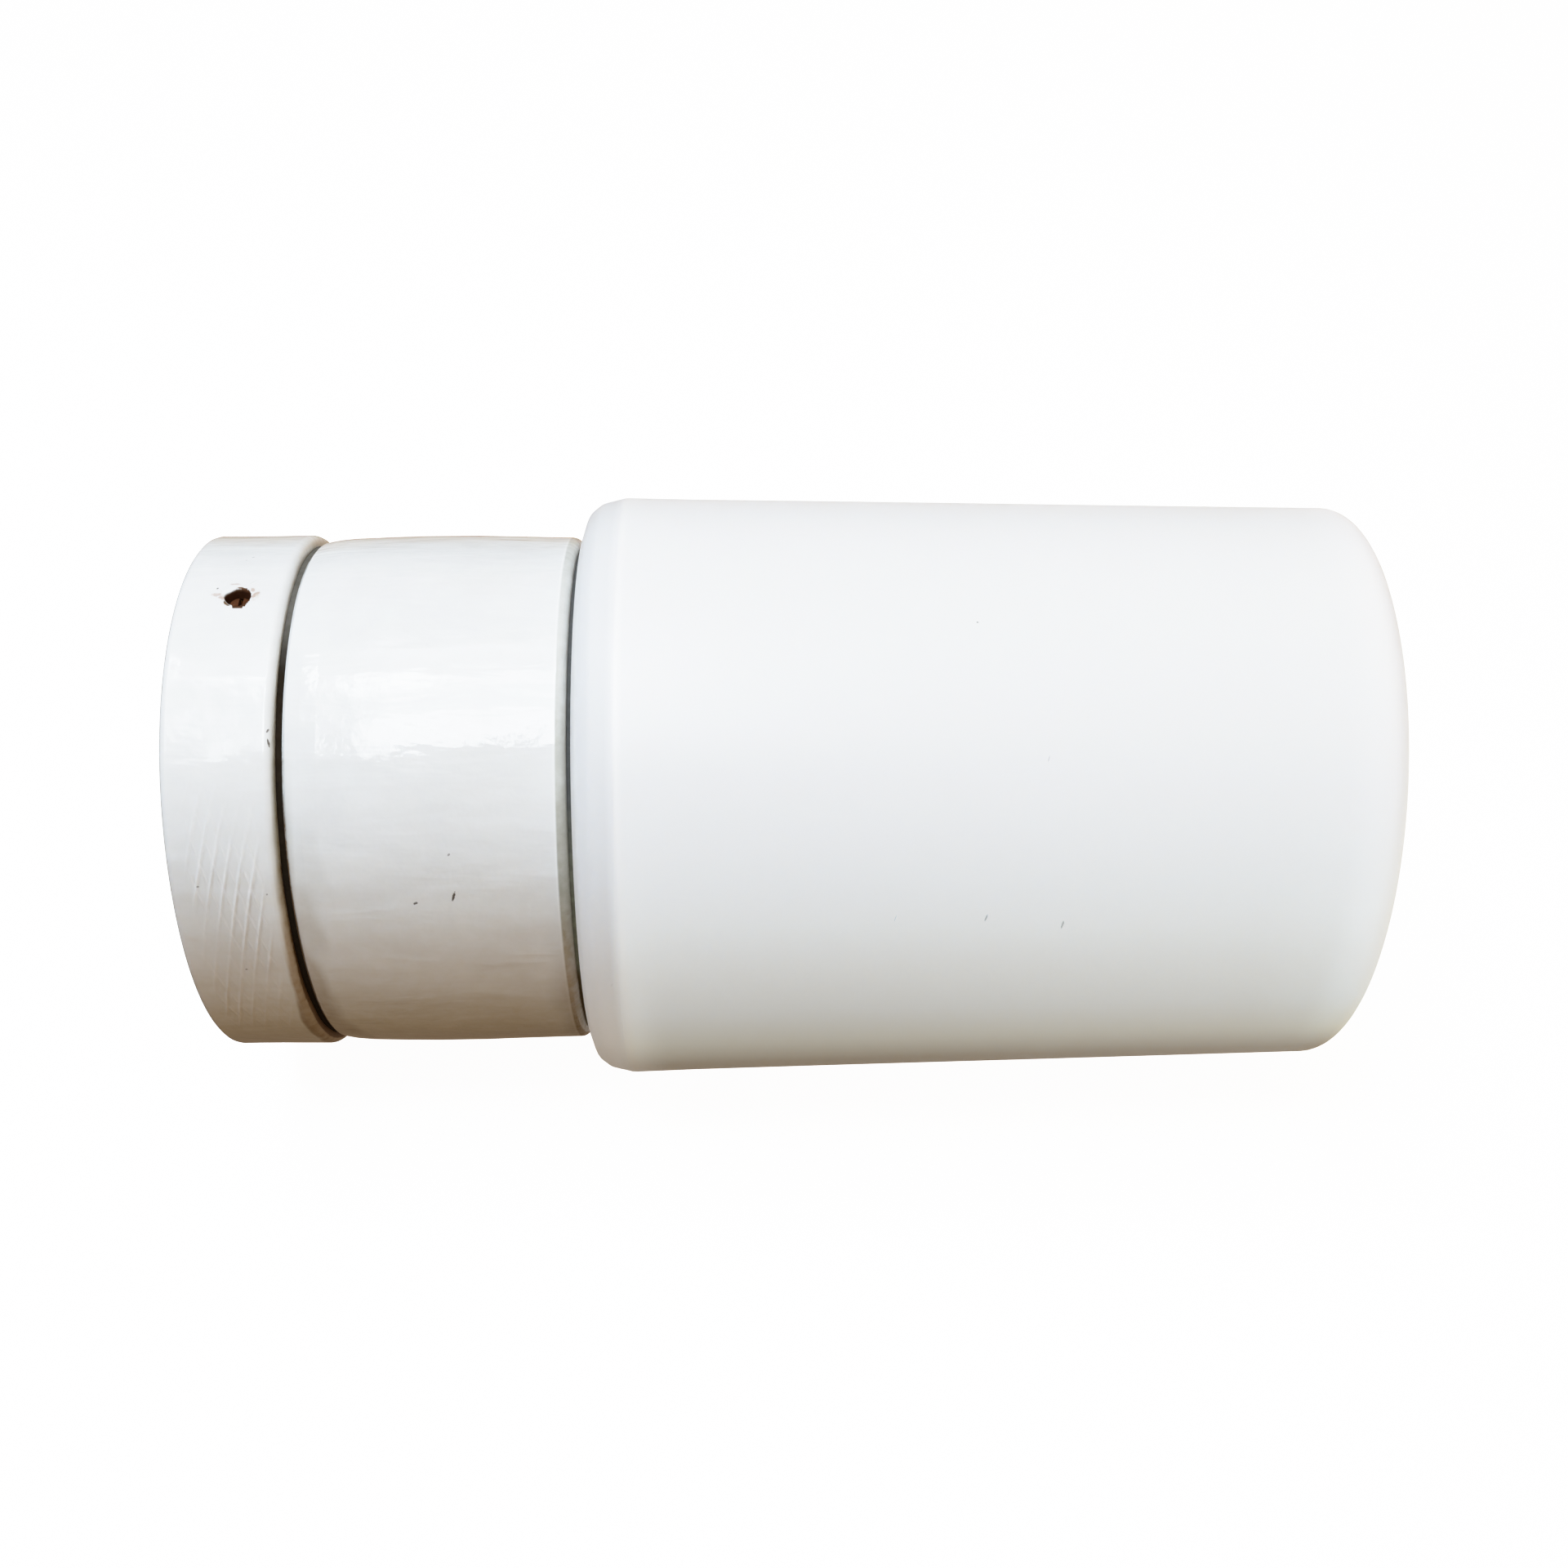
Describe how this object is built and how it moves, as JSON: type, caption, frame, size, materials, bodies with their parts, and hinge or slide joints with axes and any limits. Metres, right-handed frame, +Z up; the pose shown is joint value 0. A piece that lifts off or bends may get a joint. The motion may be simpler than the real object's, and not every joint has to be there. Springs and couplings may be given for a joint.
{
  "type": "bathroom wall light",
  "caption": "Bathroom wall light with a glazed porcelain mounting ring and barrel, and a screw-in white opal glass cylinder shade over a screw lampholder.",
  "frame": {"origin": "centre of the mounting ring's back face, on the lamp axis", "axes": "+X along the lamp axis out from the wall towards the closed end of the shade, +Z up through the upper set screw, wall screw slots along Y"},
  "size_m": [0.2159, 0.1128, 0.1128],
  "materials": {
    "ring_porcelain": "glossy white glaze",
    "body_porcelain": "glossy white glaze",
    "opal_glass": "glossy white opal",
    "brass": "aged",
    "shell_brass": "drawn, satin",
    "screw_steel": "rusted",
    "plated_steel": "zinc plated",
    "spring_steel": "bronze wire",
    "grommet_rubber": "matt black",
    "seal_rubber": "aged brown black",
    "holder_porcelain": "white, part glazed",
    "copper": "bare copper strand",
    "live_sleeve": "brown insulation",
    "neutral_sleeve": "blue insulation",
    "clear_glass": "clear",
    "cap_metal": "thin sheet",
    "black_glass": "black vitreous",
    "solder": "dull solder",
    "tungsten": "dark wire"
  },
  "bodies": {
    "mounting_ring": {"mounting_ring": "ring_porcelain", "set_screw_inserts": "brass", "cable_grommet": "grommet_rubber"},
    "set_screw_top": {"set_screw_top": "screw_steel"},
    "set_screw_bottom": {"set_screw_bottom": "screw_steel"},
    "base_seal": {"base_seal": "seal_rubber"},
    "lamp_body": {"lamp_body": "body_porcelain", "holder_body": "holder_porcelain", "holder_shell": "shell_brass", "terminal_live": "brass", "terminal_neutral": "brass", "neutral_rivet": "brass", "terminal_screws": "plated_steel", "contact_spring": "spring_steel", "holder_screws": "plated_steel", "holder_washers": "plated_steel", "holder_nuts": "plated_steel", "terminal_block": "holder_porcelain", "block_tube_live": "brass", "block_tube_neutral": "brass", "block_grub_screws": "plated_steel", "block_fixing_screw": "plated_steel", "block_fixing_nut": "plated_steel", "wire_live_core": "copper", "wire_neutral_core": "copper", "wire_live_sleeve": "live_sleeve", "wire_neutral_sleeve": "neutral_sleeve"},
    "contact_plunger": {"contact_plunger": "brass"},
    "shade_gasket": {"shade_gasket": "seal_rubber"},
    "shade": {"shade": "opal_glass"},
    "lamp_tip": {"bulb_tip": "solder"},
    "lamp": {"bulb_cap": "cap_metal", "bulb_glass": "clear_glass", "bulb_insulator": "black_glass", "bulb_stem": "clear_glass", "bulb_leads": "plated_steel", "bulb_filament": "tungsten"}
  },
  "joints": [
    {"name": "set_screw_top_travel", "type": "slide", "parent": "mounting_ring", "child": "set_screw_top", "axis": [0, 0, 1], "range_m": [0, 0.0018]},
    {"name": "set_screw_bottom_travel", "type": "slide", "parent": "mounting_ring", "child": "set_screw_bottom", "axis": [0, 0, -1], "range_m": [0, 0.0018]},
    {"name": "body_swivel", "type": "hinge", "parent": "mounting_ring", "child": "base_seal", "pos_m": [0.0205, 0, 0], "axis": [1, 0, 0], "range_deg": [-180, 180]},
    {"name": "body_pull", "type": "slide", "parent": "base_seal", "child": "lamp_body", "axis": [1, 0, 0], "range_m": [0, 0.02]},
    {"name": "shade_lift", "type": "slide", "parent": "lamp_body", "child": "shade_gasket", "axis": [1, 0, 0], "range_m": [0, 0.01501]},
    {"name": "shade_turn", "type": "hinge", "parent": "shade_gasket", "child": "shade", "pos_m": [0.0719, 0, 0], "axis": [1, 0, 0], "range_deg": [0, 900]},
    {"name": "lamp_lift", "type": "slide", "parent": "lamp_body", "child": "lamp_tip", "axis": [1, 0, 0], "range_m": [0, 0.02541]},
    {"name": "lamp_turn", "type": "hinge", "parent": "lamp_tip", "child": "lamp", "pos_m": [0.0463, 0, 0], "axis": [1, 0, 0], "range_deg": [0, 2520]},
    {"name": "contact_press", "type": "slide", "parent": "lamp_body", "child": "contact_plunger", "axis": [-1, 0, 0], "range_m": [0, 0.0012], "stiffness_N_per_m": 2500, "springref_m": -0.002, "deforming": ["contact_spring"]}
  ],
  "couplings": [
    {"joint": "shade_lift", "follows": "shade_turn", "m_per_rad": 0.00095493},
    {"joint": "lamp_lift", "follows": "lamp_turn", "m_per_rad": 0.00057757}
  ]
}
